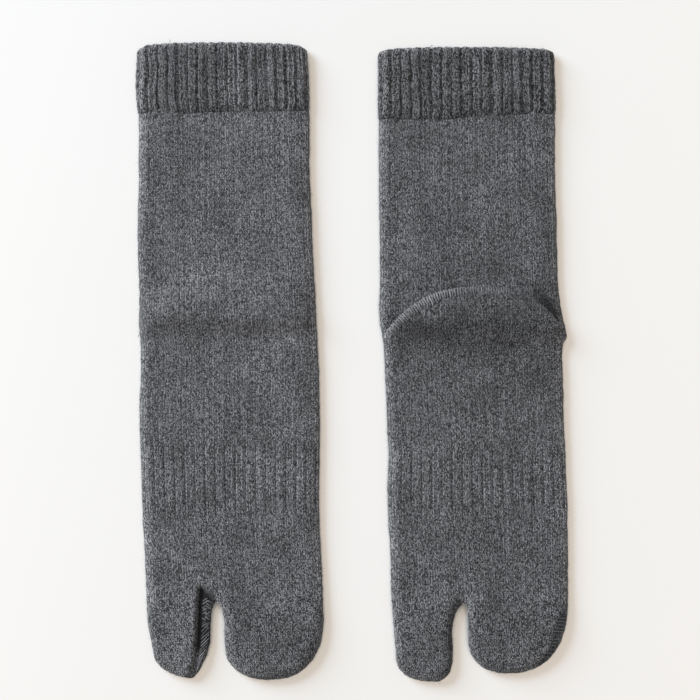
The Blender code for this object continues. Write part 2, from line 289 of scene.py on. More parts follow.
def outlineFinder(sock, sides):  # how far a point of the plan is from the sock's outline
    parts = []
    for side, rows, tip, start in (
        ("big", "bigSide", "bigTip", -20), ("bigInner", "bigInner", "bigTip", sock["crotch"][0]),
        ("fourInner", "fourInner", "fourTip", sock["crotch"][0]), ("little", "littleSide", "fourTip", -20),
    ):
        down = closeSteps(start, sock[rows][-1][0], sock[tip]["down"])
        parts.append(np.stack([sides[side](down), down], axis=1))
    tree = KDTree(sum(len(part) for part in parts))
    points, first = np.concatenate(parts), 0
    ahead = np.zeros(len(points), bool)
    for part in parts:
        ahead[first:first + len(part) - 1] = True
        first += len(part)
    for i, (x, down) in enumerate(points):
        tree.insert((x, down, 0), i)
    tree.balance()

    def toSegment(p, i):
        j = i + 1 if ahead[i] else i
        run = points[j] - points[i]
        t = np.clip(np.dot(p - points[i], run) / max(np.dot(run, run), 1e-12), 0, 1)
        return np.linalg.norm(p - points[i] - run * t)

    def at(x, down):
        found = np.empty(x.shape)
        for k in np.ndindex(x.shape):
            p = np.array([x[k], down[k]])
            _, i, near = tree.find((p[0], p[1], 0))
            found[k] = near if near > 6 else min(toSegment(p, i), toSegment(p, max(i - 1, 0)))
        return found

    return at


def acrossLayer(low, high, width, height, count, innerLow=1.0, innerHigh=1.0):
    # places across a layer, evenly spaced along the cloth as it rounds its side folds
    width = min(width, (high - low) * 0.45)
    turn = np.linspace(0, math.pi / 2, 40)
    fold = width * (1 - np.cos(turn))
    run = np.concatenate([[0], np.cumsum(np.hypot(np.diff(fold), np.diff(height * np.sin(turn))))])
    share = np.linspace(0, 1, count + 1)

    def laid(roundLow, roundHigh):
        lowRun, highRun = (run[-1] if roundLow else width), (run[-1] if roundHigh else width)
        along = share * (lowRun + highRun + high - low - 2 * width)
        lengths = [np.interp(along, run, fold) if roundLow else np.minimum(along, width)]
        back = along[-1] - along
        lengths.append(np.interp(back, run, fold) if roundHigh else np.minimum(back, width))
        middle = low + width + (along - lowRun)
        x = np.where(along < lowRun, low + lengths[0], middle)
        return np.where(back < highRun, high - lengths[1], x)

    both = laid(True, True)
    if innerLow < 1:
        both = innerLow * both + (1 - innerLow) * laid(False, True)
    if innerHigh < 1:
        both = innerHigh * both + (1 - innerHigh) * laid(True, False)
    return both


def thickAt(sock, down):  # both layers together
    start = sock["crotch"][0] - 14
    grow = smoothStep((down - start) / 26)
    return knit["thick"] + (knit["toeThick"] - knit["thick"]) * grow


def halfHeight(distance, thick):  # rounded at the side folds
    inside = 1 - np.clip(distance / knit["foldWidth"], 0, 1)
    return thick / 2 * np.sqrt(1 - inside**2)


swells = [(0.30, 26, 40, 0), (0.13, 9, 13, 5), (0.05, 3.2, 4.5, 9)]  # (height, width, length, lane)


def softNoise(x, down, seed):  # how unevenly the cloth lies
    out = np.zeros(x.shape)
    for height, width, length, lane in swells:
        for k in np.ndindex(x.shape):
            out[k] += height * noise.noise(Vector((x[k] / width, down[k] / length, seed + lane)))
    return out


def creaseDepth(sock, x, down):  # the creases listed for each sock
    depth = np.zeros(x.shape)
    for crease in sock["creases"]:
        turn = math.radians(crease["turn"])
        dx, dd = x - crease["x"], down - crease["down"]
        along = dx * math.cos(turn) - dd * math.sin(turn)
        off = dx * math.sin(turn) + dd * math.cos(turn)
        bow = off - 0.006 * along**2
        depth += crease["depth"] * np.exp(-((bow / crease["width"]) ** 2) - (along / crease["length"]) ** 2)
    return depth


def paintedShadeAndTone(shadeAndTonePatches, x, down):  # painted shade and light, with some uneven tone, as soft darker and lighter places
    shade = np.ones(x.shape)
    for px, pd, turn, length, width, strength in shadeAndTonePatches:
        a = math.radians(turn)
        along = (x - px) * math.cos(a) - (down - pd) * math.sin(a)
        off = (x - px) * math.sin(a) + (down - pd) * math.cos(a)
        shade *= 1 - strength * np.exp(-((off / width) ** 2) - (along / length) ** 2)
    return shade


def heelShape(sock, x, down):  # the folded pocket's reach and fullness, and how it lifts and presses the cloth
    low = np.interp(sock["heelDown"], [r[0] for r in sock["bigSide"]], [r[1] for r in sock["bigSide"]])
    high = np.interp(sock["heelDown"], [r[0] for r in sock["littleSide"]], [r[1] for r in sock["littleSide"]])
    apex = sock["heelApexX"]
    share = np.clip(np.abs(x - apex) / np.where(x < apex, apex - low, high - apex), 0, 1)
    arc = heel["rise"] * (1 - share ** heel["power"])
    full = 1 - np.exp(-arc / heel["taper"])
    above = sock["heelDown"] - down
    start, end = sock["liftFade"]
    slope = smoothStep((above - end) / (start - end))
    margin, reach = sock["heelSoft"]
    over = 1 - smoothStep((above - arc - margin) / reach)
    press = heel["press"] * full * (1 - smoothStep(above / heel["pressReach"]))
    return arc, full, heel["lift"] * full * slope, over, press


def gussetShape(sock, x, down):  # how the left big toe's gusset lies under its top layer's edge, and the shade painted into it
    if "gusset" not in sock:
        return np.ones(x.shape), np.zeros(x.shape)
    rows = np.array(sock["gusset"])
    crease = np.interp(down, rows[:, 0], rows[:, 1])
    off = x - crease
    level = np.interp(off, [-2.6, -1.5, -0.3, 1.5, 2.7], [1.0, 0.86, 0.2, 0.18, 0.42])
    start = smoothStep((down - rows[0, 0] + 0.6) / 2.4)
    runOut = 1 - 0.72 * smoothStep((down - 311) / 10)
    crotchDown, crotchX = sock["crotch"]
    edge = np.interp(down, [rows[0, 0], crotchDown, crotchDown + 0.5], [rows[0, 1], crotchX, 60])
    covered = np.where(down < crotchDown, smoothStep((x - edge + 1.4) / 2.2), (x > crotchX) * 1.0)
    show = start * (1 - covered)
    seen = show * smoothStep((off + 0.9) / 1.2) * (x < 0)
    crease = show * np.exp(-(((off - 0.6) / 2.1) ** 2)) * (x < 0)
    pit = show * np.exp(-(((down - rows[0, 0] - 3) / 5) ** 2))
    # painted shade: on the band it shows, in its crease and in the pit at the split
    dark = (0.56 * seen + 0.66 * crease) * runOut + 0.6 * pit * seen
    return 1 + (level - 1) * show * (0.35 + 0.65 * runOut), np.clip(dark, 0, 0.95)


def goreTone(sock, x, down):  # the darker gore past its inner line
    if "gore" not in sock:
        return np.ones(x.shape)
    rows = np.array(sock["gore"])
    line = np.interp(down, rows[:, 0], rows[:, 1], left=80, right=80)
    outer = 1 - 0.78 * smoothStep((x - line - 2.6) / 2.2)
    return 1 - 0.62 * outer * smoothStep((x - line + 0.5) / 0.9) * smoothStep((down - 290) / 6) * (x > 20)


class ClothStore:  # layers of cloth, gathered into one mesh that keeps its stitches' places
    def __init__(self, sock):
        self.sock = sock
        self.points, self.faces, self.uvs = [], [], []
        self.values = {"wale": [], "band": [], "tone": [], "wall": [], "rough": []}
        self.count = 0

    def add(self, x, down, z, u, v, band, tone, wall, flip):
        rows, cols = x.shape
        index = np.arange(rows * cols).reshape(rows, cols) + self.count
        near, far = slice(None, -1), slice(1, None)
        corners = [(near, near), (far, near), (far, far), (near, far)]
        if flip:
            corners.reverse()
        self.faces.append(np.stack([index[corner].ravel() for corner in corners], axis=1))
        stitches = [np.stack([u[corner].ravel(), v[corner].ravel()], axis=1) for corner in corners]
        self.uvs.append(np.stack(stitches, axis=1))
        self.points.append(np.stack([x.ravel(), down.ravel(), z.ravel()], axis=1))
        rough = sum(much * smoothStep((down - start) / reach) for start, reach, much in knit["rough"])
        rough = rough + self.sock["heelRough"] * np.exp(-(((down - self.sock["heelDown"] - 2) / 12) ** 2))
        for name, value in (("wale", u), ("band", band), ("tone", tone), ("wall", wall), ("rough", rough)):
            self.values[name].append(np.broadcast_to(value, x.shape).ravel())
        self.count += rows * cols

    def build(self, name):
        sock = self.sock
        points = np.concatenate(self.points)
        place = np.stack([*placeOf(sock, points[:, 0], points[:, 1]), points[:, 2] * mm], axis=1)
        mesh = bpy.data.meshes.new(name)
        mesh.from_pydata(place, [], np.concatenate(self.faces))
        layer = mesh.uv_layers.new(name="stitches")
        layer.uv.foreach_set("vector", np.concatenate(self.uvs).astype(np.float32).ravel())
        for key, value in self.values.items():
            attribute = mesh.attributes.new(key, "FLOAT", "POINT")
            attribute.data.foreach_set("value", np.concatenate(value).astype(np.float32))
        cloth = bmesh.new()
        cloth.from_mesh(mesh)
        bmesh.ops.remove_doubles(cloth, verts=cloth.verts, dist=2e-6)
        cloth.to_mesh(mesh)
        cloth.free()
        mesh.shade_smooth()
        piece = bpy.data.objects.new(name, mesh)
        scene.collection.objects.link(piece)
        group = piece.vertex_groups.new(name="wall")
        shares = np.empty(len(mesh.vertices), np.float32)
        mesh.attributes["wall"].data.foreach_get("value", shares)
        for share in np.unique(np.round(shares, 2)):
            group.add(np.flatnonzero(np.round(shares, 2) == share).tolist(), float(share), "REPLACE")
        return piece


def steps(*stops):  # (start, end, step) runs, joined
    places = [np.arange(start, end - step * 0.4, step) for start, end, step in stops]
    return np.concatenate(places + [[stops[-1][1]]])


def bodyLayer(sock, sides, distanceTo, downs, part="all"):
    # the plan of one layer over the given rows: its points' places, heights and wales
    perSide = knit["wales"] // 2 * knit["pointsPerWale"]
    crotchDown, crotchX = sock["crotch"]
    lowRow, highRow = sides["big"](crotchDown), sides["little"](crotchDown)
    split = 2 * round(perSide * (crotchX - lowRow) / (highRow - lowRow) / 2)
    first, last = {"all": (0, perSide), "big": (0, split), "four": (split, perSide)}[part]
    low = sides["fourInner" if part == "four" else "big"]
    high = sides["bigInner" if part == "big" else "little"]
    x = np.empty((len(downs), last - first + 1))
    for i, down in enumerate(downs):
        rounding = float(smoothStep((down - crotchDown) / 4)) if part != "all" else 1.0
        thick = float(thickAt(sock, down))
        a, b = float(low(down)), float(high(down))
        if b - a < 0.02:
            x[i] = (a + b) / 2
            continue
        x[i] = acrossLayer(
            a, b, knit["foldWidth"], thick / 2, last - first,
            innerLow=rounding if part == "four" else 1.0, innerHigh=rounding if part == "big" else 1.0,
        )
        parting = float(smoothStep((down - crotchDown + 30) / 30))
        if part == "all" and parting > 0:  # its points draw together to meet the two toe pockets
            halves = np.concatenate([
                acrossLayer(a, crotchX, knit["foldWidth"], thick / 2, split, innerHigh=0.0)[:-1],
                acrossLayer(crotchX, b, knit["foldWidth"], thick / 2, perSide - split, innerLow=0.0),
            ])
            x[i] += (halves - x[i]) * parting
    down = np.repeat(np.array(downs, float)[:, None], x.shape[1], axis=1)
    thick = thickAt(sock, down)
    distance = distanceTo(x, down)
    distance[:, 0] = distance[:, -1] = 0
    wale = np.repeat(np.arange(first, last + 1)[None, :] / knit["pointsPerWale"], len(downs), axis=0)
    return x, down, thick, halfHeight(distance, thick), wale, distance


def tipStitches(x, down, wale, distance, shoulder, tipDown, pull=0.1):
    # past a toe pocket's shoulder its wales run on straight, and draw in a little at the tip
    ref = int(np.argmin(np.abs(down[:, 0] - shoulder)))
    out = wale.copy()
    middle = (x[ref, 0] + x[ref, -1]) / 2
    for i in range(ref, len(x)):
        t = (down[i, 0] - shoulder) / (tipDown - shoulder)
        out[i] = np.interp(middle + (x[i] - middle) * (1 + pull * t * t), x[ref], wale[ref])
    width = knit["foldWidth"]
    turned = np.arccos(np.clip(1 - distance / width, 0, 1))
    extra = np.clip(width * (math.pi / 2 - turned) * 0.8 - (width - np.minimum(distance, width)), 0, None)
    share = np.clip((down - shoulder) / (tipDown - shoulder), 0, 1)
    return out, (down + extra * share) / knit["coursePitch"]


def buildBody(sock):
    sides = sockSides(sock)
    distanceTo = outlineFinder(sock, sides)
    store = ClothStore(sock)
    heelDown, crotchDown = sock["heelDown"], sock["crotch"][0]
    onTop = sock["flapOnTop"]
    wales = knit["wales"]
    legDowns = steps((knit["bodyStart"], 40, 1.0), (40, heelDown - 38, 3.0), (heelDown - 38, heelDown, 2.0))
    footDowns = steps(
        (heelDown, heelDown + 20, 1.7), (heelDown + 20, crotchDown - 14, 3.0), (crotchDown - 14, crotchDown, 1.2),
    )
    bandStart, bandEnd = sock["archBand"]

    def bandOf(down):
        return smoothStep((down - bandStart) / 2.5) * (1 - smoothStep((down - bandEnd + 2.5) / 2.5))

    def surfaces(x, down, thick, half):  # the heights of the leg, the heel's flap with the foot, and the other layer
        _, full, lift, over, press = heelShape(sock, x, down)
        level = half / (thick / 2)
        dents = (softNoise(x, down, sock["seed"]) - creaseDepth(sock, x, down)) * level**2
        # seen: the gusset's painted shade
        gusset, seen = gussetShape(sock, x, down)
        press = press * level
        tuck = knit["tuck"] * (1 - smoothStep((down - cuffEnd(sock, x) - knit["bodyStart"]) / 2.4)) * level
        top = thick / 2 + half * gusset + dents - tuck
        if onTop:
            leg, flap, other = top - press, top + lift, thick / 2 - half + tuck
        else:
            leg, flap, other = thick / 2 - half + tuck + lift * over + press, thick / 2 - half, top + lift * over
        return {"leg": leg, "flap": flap, "other": other, "full": full, "seen": seen}

    # painted highlight along the side folds
    def foldHighlight(x, distance):
        near = np.exp(-(((distance - 1.8) / 1.3) ** 2))
        return 1 + near * np.where(x < 0, *knit["foldHighlight"])

    def put(x, down, z, wale, flip, v=None, tone=1.0, wall=1.0):
        u = wales - wale if flip else wale
        tone = tone * (paintedShadeAndTone(sock["shadeAndTonePatches"], x, down) if not flip else 1.0)
        v = down / knit["coursePitch"] if v is None else v
        store.add(x, down, z, u, v, bandOf(down), tone, wall, flip)

    # the layer with no heel pocket, from the cuff to the split
    downs = np.concatenate([legDowns, footDowns[1:]])
    x, down, thick, half, wale, distance = bodyLayer(sock, sides, distanceTo, downs)
    z = surfaces(x, down, thick, half)
    near = np.exp(-(((down - heelDown) / 16) ** 2)) * (1 - z["full"])
    tone = (1 - z["seen"] * (not onTop)) * foldHighlight(x, distance)
    put(x, down, z["other"], wale, onTop, tone=tone, wall=1 - 0.6 * near)

    # the other layer: the leg down to the crease
    x, down, thick, half, wale, distance = bodyLayer(sock, sides, distanceTo, legDowns)
    z = surfaces(x, down, thick, half)
    near = np.exp(-(((down - heelDown) / 20) ** 2))
    put(
        x, down, z["leg"], wale, not onTop, tone=paintedShadeAndTone(sock["legShadeAndTonePatches"], x, down) * foldHighlight(x, distance),
        wall=1 - (1 - heel["wallShare"]) * near - 0.45 * near * (1 - z["full"]),
    )

    # the heel pocket: up from the crease to its fold, and back down over itself
    crease, halfRow, waleRow = x[-1], half[-1], wale[-1]
    arc, full = heelShape(sock, crease, np.full(crease.shape, heelDown))[:2]
    arc[0] = arc[-1] = 0
    radius = np.minimum(np.interp(crease, [-40, -14, 8, 28], [4.6, 3.8, 2.4, 2.2]), 0.45 * arc)
    sloping = 0.85 * smoothStep((crease + 8) / 20)
    wallShare = heel["wallShare"] * (0.35 + 0.65 * smoothStep(arc / 9))
    sign = 1 if onTop else -1

    def pocketRows(count):  # heights over the crease up to the fold, and how far each row keeps to its layer
        bends = np.linspace(0, math.pi / 2, 6)[1:]
        above = [(arc - radius) * share for share in np.linspace(0, 1, count)]
        above += [arc - radius * (1 - np.sin(b)) for b in bends]
        level = [np.ones(crease.shape)] * count
        level += [math.cos(b) + (1 - math.sin(b) - math.cos(b)) * sloping for b in bends]
        level[-1] = np.zeros(crease.shape)
        return np.array(above), np.array(level)

    def onRows(row, above):
        return np.repeat(row[None, :], len(above), axis=0)

    def pocketLevels(above):  # the leg's height at each row, and the pocket's lower, middle and upper ones
        rows, down = onRows(crease, above), heelDown - above
        z = surfaces(rows, down, thickAt(sock, down), onRows(halfRow, above))
        under = z["leg"] + sign * heel["gap"] * full * smoothStep(above / 1.5)
        return rows, down, z["leg"], under, (under + z["flap"]) / 2, z["flap"]

    above, level = pocketRows(9)
    rows, down, leg, under, middle, _ = pocketLevels(above)
    zUnder = middle + level * (under - middle)
    zUnder[:, [0, -1]] = leg[0][[0, -1]]
    zUnder[0] = leg[0]
    put(
        rows, down, zUnder, onRows(waleRow, above), not onTop,
        v=(heelDown + above) / knit["coursePitch"], wall=onRows(wallShare, above),
    )
    above, level = (part[::-1] for part in pocketRows(12))
    rows, flapDown, _, _, middle, upper = pocketLevels(above)
    zFlap = middle + level * (upper - middle)
    zFlap[:, [0, -1]] = zUnder[0][[0, -1]]
    zFlap[0] = zUnder[-1]
    # painted shade along the heel pocket's fold rim, stronger towards the little side
    inset = np.maximum(arc[None, :] - above, 0)
    paintedRimShading = 0.5 * np.exp(-((inset / 1.6) ** 2)) * smoothStep((rows + 14) / 24) + 0.3 * np.exp(-((inset / 0.7) ** 2))

    # and on as the foot, to the split
    x, down, thick, half, wale, distance = bodyLayer(sock, sides, distanceTo, footDowns)
    z = surfaces(x, down, thick, half)
    near = np.exp(-(((down - heelDown) / 16) ** 2)) * (1 - z["full"])
    join = np.exp(-(((down - heelDown) / 6) ** 2)) * (1 - heel["wallShare"])
    put(
        np.concatenate([rows[:-1], x]), np.concatenate([flapDown[:-1], down]),
        np.concatenate([zFlap[:-1], z["flap"]]), np.concatenate([onRows(waleRow, above)[:-1], wale]), not onTop,
        wall=np.concatenate([onRows(wallShare, above)[:-1], 1 - join - 0.45 * near]),
        tone=np.concatenate([1 - np.minimum(paintedRimShading[:-1], 0.8), foldHighlight(x, distance)]),
    )

    # the toe pockets, both layers of each
    for part, tip, shoulderKey in (("big", sock["bigTip"], "bigInner"), ("four", sock["fourTip"], "fourInner")):
        shoulder = sock[shoulderKey][-1][0]
        turn = np.linspace(0, math.pi / 2, 24)
        straight = np.concatenate([
            crotchDown + np.array([0, 0.5, 1.1, 1.8, 2.6, 3.5, 4.6, 6.0]),
            steps((crotchDown + 7.6, shoulder, 1.7))[:-1],
        ])
        curved = shoulder + (tip["down"] - shoulder) * np.sin(turn)
        downs = np.concatenate([straight[straight < shoulder - 0.4], curved])
        x, down, thick, half, wale, distance = bodyLayer(sock, sides, distanceTo, downs, part)
        half[:, [0, -1]] = 0
        half[0] = halfHeight(distanceTo(x[:1], down[:1])[0], thick[0])
        half[0][0 if part == "big" else -1] = 0
        half[0][-1 if part == "big" else 0] = 0
        half[-1] = 0
        z = surfaces(x, down, thick, half)
        wale, course = tipStitches(x, down, wale, distance, shoulder, tip["down"])
        upper = z["flap"] if onTop else z["other"]
        lower = z["other"] if onTop else z["flap"]
        put(x, down, upper, wale, False, v=course, tone=(1 - z["seen"]) * goreTone(sock, x, down))
        put(x, down, lower, wale, True, v=course)
    return store.build(sock["name"] + "Body")


# small node-tree helpers
def addNode(tree, kind, **settings):
    node = tree.nodes.new(kind)
    values = settings.pop("values", {})
    for key, value in settings.items():
        setattr(node, key, value)
    for key, value in values.items():
        setInput(tree, node, key, value)
    return node


def setInput(tree, node, key, value):
    if isinstance(value, bpy.types.NodeSocket):
        tree.links.new(value, node.inputs[key])
    else:
        node.inputs[key].default_value = value


def newTree(name, kind, given, made):  # a node group with its named inputs and outputs
    tree = bpy.data.node_groups.new(name, kind)
    for way, sockets in (("INPUT", given), ("OUTPUT", made)):
        for socket, socketKind in sockets.items():
            tree.interface.new_socket(socket, in_out=way, socket_type="NodeSocket" + socketKind)
    return tree, addNode(tree, "NodeGroupInput"), addNode(tree, "NodeGroupOutput")


def endTree(tree, geometry, given, out):  # instances made real, with their yarn
    real = addNode(tree, "GeometryNodeRealizeInstances", values={"Geometry": geometry})
    paint = addNode(tree, "GeometryNodeSetMaterial", values={
        "Geometry": real.outputs[0], "Material": given.outputs["Yarn"],
    })
    tree.links.new(paint.outputs[0], out.inputs[0])
    return tree


def mathNode(tree, operation, *values, clamp=False):
    node = addNode(tree, "ShaderNodeMath", operation=operation, use_clamp=clamp)
    for i, value in enumerate(values):
        setInput(tree, node, i, value)
    return node.outputs[0]


def times(tree, first, *others):
    for value in others:
        first = mathNode(tree, "MULTIPLY", first, value)
    return first


def plus(tree, first, *others):
    for value in others:
        first = mathNode(tree, "ADD", first, value)
    return first


def minus(tree, first, second):
    return mathNode(tree, "SUBTRACT", first, second)


def absolute(tree, value):
    return mathNode(tree, "ABSOLUTE", value)


def fade(tree, value, fromLow, fromHigh, toLow=0.0, toHigh=1.0):
    node = addNode(tree, "ShaderNodeMapRange", interpolation_type="SMOOTHSTEP")
    for i, item in enumerate((value, fromLow, fromHigh, toLow, toHigh)):
        setInput(tree, node, i, item)
    return node.outputs[0]


def blendColour(tree, share, first, second, mode="MIX"):
    node = addNode(tree, "ShaderNodeMix", data_type="RGBA", blend_type=mode)
    for key, value in ((0, share), (6, first), (7, second)):
        setInput(tree, node, key, value)
    return node.outputs[2]


def combine(tree, x, y, z):
    return addNode(tree, "ShaderNodeCombineXYZ", values={0: x, 1: y, 2: z}).outputs[0]


def smoothNoise(tree, place, scale, detail, **more):
    values = {"Vector": place, "Scale": scale, "Detail": detail, **more}
    return addNode(tree, "ShaderNodeTexNoise", values=values).outputs[0]


def cellNoise(tree, place):
    return addNode(tree, "ShaderNodeTexWhiteNoise", noise_dimensions="3D", values={"Vector": place}).outputs[0]


def storedValue(tree, name):  # one of the cloth's own values, in a Geometry Nodes tree
    return addNode(tree, "GeometryNodeInputNamedAttribute", data_type="FLOAT", values={"Name": name}).outputs[0]


def paintedValue(tree, name):  # the same, in a material
    return addNode(tree, "ShaderNodeAttribute", attribute_name=name).outputs["Fac"]


def randomNode(tree, kind, low, high):
    node = addNode(tree, "FunctionNodeRandomValue", data_type=kind)
    for socket in node.inputs:
        if socket.enabled and socket.name in ("Min", "Max"):
            socket.default_value = low if socket.name == "Min" else high
    return node, next(socket for socket in node.outputs if socket.enabled)


# ribs: knit and purl columns, pushed in between the ridges along the cloth's own wales
def buildRibTree():
    tree, given, out = newTree("ribs", "GeometryNodeTree", {
        "Geometry": "Geometry", "Repeat": "Float", "Valley": "Float", "Softness": "Float",
        "Depth": "Float", "Lumps": "Float", "Yarn": "Material",
    }, {"Geometry": "Geometry"})
    valley, softness = given.outputs["Valley"], given.outputs["Softness"]
    turn = mathNode(tree, "FRACT", mathNode(tree, "DIVIDE", storedValue(tree, "wale"), given.outputs["Repeat"]))
    off = absolute(tree, minus(tree, turn, 0.5))
    purl = fade(tree, off, minus(tree, valley, softness), plus(tree, valley, softness), 1.0, 0.0)
    groove = times(tree, purl, storedValue(tree, "band"))
    place = addNode(tree, "GeometryNodeInputPosition").outputs[0]
    normal = addNode(tree, "GeometryNodeInputNormal").outputs[0]
    facing = addNode(tree, "ShaderNodeSeparateXYZ", values={0: normal}).outputs[2]
    lumps = times(tree, minus(tree, smoothNoise(tree, place, 430.0, 2.0), 0.5), given.outputs["Lumps"])
    lumps = times(tree, lumps, minus(tree, 1.12, absolute(tree, facing)))  # most on the side folds
    push = plus(tree, times(tree, groove, given.outputs["Depth"]), lumps)
    move = addNode(tree, "ShaderNodeVectorMath", operation="SCALE", values={0: normal})
    setInput(tree, move, "Scale", times(tree, push, -1.0))
    shift = addNode(tree, "GeometryNodeSetPosition", values={
        "Geometry": given.outputs["Geometry"], "Offset": move.outputs[0],
    })
    # the groove is kept for the material too, which paints shade into it
    keep = addNode(tree, "GeometryNodeStoreNamedAttribute", data_type="FLOAT", domain="POINT", values={
        "Geometry": shift.outputs[0], "Name": "groove", "Value": groove,
    })
    return endTree(tree, keep.outputs[0], given, out)


def treeModifier(piece, tree, settings):  # inputs are set by their sockets' identifiers
    modifier = piece.modifiers.new(tree.name, "NODES")
    modifier.node_group = tree
    for item in tree.interface.items_tree:
        if item.item_type == "SOCKET" and item.in_out == "INPUT" and item.name in settings:
            modifier[item.identifier] = settings[item.name]
    return modifier


def settle(piece):  # the piece with its modifiers worked in, as one plain mesh
    bpy.context.view_layer.update()
    graph = bpy.context.evaluated_depsgraph_get()
    done = bpy.data.meshes.new_from_object(piece.evaluated_get(graph), preserve_all_data_layers=True, depsgraph=graph)
    old = piece.data
    piece.modifiers.clear()
    piece.data = done
    done.name = piece.name
    bpy.data.meshes.remove(old)
    return piece


def giveWall(piece, wall, group=None):  # inwards, thinner where the vertex group says so
    modifier = piece.modifiers.new("wall", "SOLIDIFY")
    modifier.thickness = wall * mm
    modifier.offset = -1
    if group:
        modifier.vertex_group = group
        modifier.thickness_vertex_group = 0.1
    return modifier


# the yarn: a marl of light and dark fibres, knitted in V-shaped stitches
yarn = {
    "dark": (0.0262, 0.0262, 0.0276, 1),
    "light": (0.331, 0.3275, 0.339, 1),
    "clouds": 1.05,  # how strong the broad darker and paler places are, and how close
    "cloudScale": 52.0,
    "fibres": (5.0, 1.6),  # how many to a wale and to a course
    "clumps": (0.9, 0.42),
    "flecks": (4.0, 1.45),
    "cuffGrooveShade": 0.34,
    "archGrooveShade": 0.41,
    "bodyColumns": 0.2,
    "cuffColumns": 0.85,
    "bodyGrain": 1.07,
    "toeGrain": 1.0,  # how much rougher in the toes
    "paleness": 0.315,  # how much of the light fibre there is
    "toeDark": 0.05,
    "cuffGrain": 1.85,
    "roughness": 0.92,
    "specular": 0.18,
    "sheenRoughness": 0.5,
    "sheen": 0.4,
    "cuffSheen": 0.3,
    "bump": 0.55,
    "relief": 0.45,
}


def buildKnitGroup():
    tree, given, out = newTree("marlStitches", "ShaderNodeTree", {
        "Stitches": "Vector", "Place": "Vector", "Dark": "Color", "Light": "Color", "Shade": "Float",
        "Clouds": "Float", "Columns": "Float", "Grain": "Float", "Paleness": "Float",
    }, {"Colour": "Color", "Height": "Float"})
    split = addNode(tree, "ShaderNodeSeparateXYZ", values={0: given.outputs["Stitches"]})
    u, v = split.outputs[0], split.outputs[1]
    # each wale is two slanting legs, so that a course zigzags across the cloth
    leg = times(tree, absolute(tree, minus(tree, mathNode(tree, "FRACT", u), 0.5)), 2.0)
    slanted = minus(tree, v, times(tree, leg, 0.5))
    humpAcross = mathNode(tree, "POWER", times(tree, leg, minus(tree, 1.0, leg), 4.0), 0.6)
    turn = mathNode(tree, "FRACT", slanted)
    humpAlong = times(tree, turn, minus(tree, 1.0, turn), 4.0)
    height = times(tree, humpAcross, plus(tree, 0.45, times(tree, humpAlong, 0.55)))
    # one shade for each leg, flecks and streaks of fibre inside it, and clumps and columns over many
    half = mathNode(tree, "FLOOR", times(tree, u, 2.0))
    legShade = cellNoise(tree, combine(tree, half, mathNode(tree, "FLOOR", slanted), 0.0))
    across, along = yarn["fibres"]
    fibrePlace = combine(tree, times(tree, u, across), times(tree, slanted, along), 0.0)
    fibres = smoothNoise(tree, fibrePlace, 1.0, 2.0, Roughness=0.65)
    across, along = yarn["clumps"]
    clumps = smoothNoise(tree, combine(tree, times(tree, u, across), times(tree, v, along), 3.0), 1.0, 1.0)
    clouds = smoothNoise(tree, given.outputs["Place"], yarn["cloudScale"], 2.0)
    across, along = yarn["flecks"]
    fleckColumn = mathNode(tree, "FLOOR", times(tree, u, across))
    fleckRow = mathNode(tree, "FLOOR", times(tree, slanted, along))
    flecks = cellNoise(tree, combine(tree, fleckColumn, fleckRow, 7.0))
    columns = cellNoise(tree, combine(tree, half, 0.0, 11.0))
    mix = times(tree, minus(tree, mathNode(tree, "POWER", legShade, 1.5), 0.4), 0.5)
    for source, weight in (
        (flecks, given.outputs["Grain"]), (fibres, 1.0), (columns, given.outputs["Columns"]), (clumps, 0.15),
    ):
        mix = plus(tree, mix, times(tree, minus(tree, source, 0.5), weight))
    mix = mathNode(tree, "ADD", mix, given.outputs["Paleness"], clamp=True)
    colour = blendColour(tree, mix, given.outputs["Dark"], given.outputs["Light"])
    # painted shade low in a stitch and between two wales, where the hollows fall in shadow
    depth = plus(tree, 0.5, times(tree, height, 0.62))
    between = times(tree, mathNode(tree, "POWER", leg, 2.0), -0.5)
    depth = times(tree, depth, plus(tree, between, 1.17))
    cloudy = plus(tree, 1.0, times(tree, minus(tree, clouds, 0.5), given.outputs["Clouds"]))
    shade = times(tree, depth, cloudy, given.outputs["Shade"])
    tinted = blendColour(tree, 1.0, colour, combine(tree, shade, shade, shade), "MULTIPLY")
    tree.links.new(tinted, out.inputs["Colour"])
    tree.links.new(plus(tree, height, times(tree, fibres, 0.5)), out.inputs["Height"])
    return tree


def newMaterial(name, roughness, specular, **more):  # with its shader's constant inputs
    material = bpy.data.materials.new(name)
    material.use_nodes = True
    shader = material.node_tree.nodes["Principled BSDF"]
    shader.inputs["Roughness"].default_value = roughness
    shader.inputs["Specular IOR Level"].default_value = specular
    for socket, value in more.items():
        shader.inputs[socket].default_value = value
    return material, material.node_tree, shader


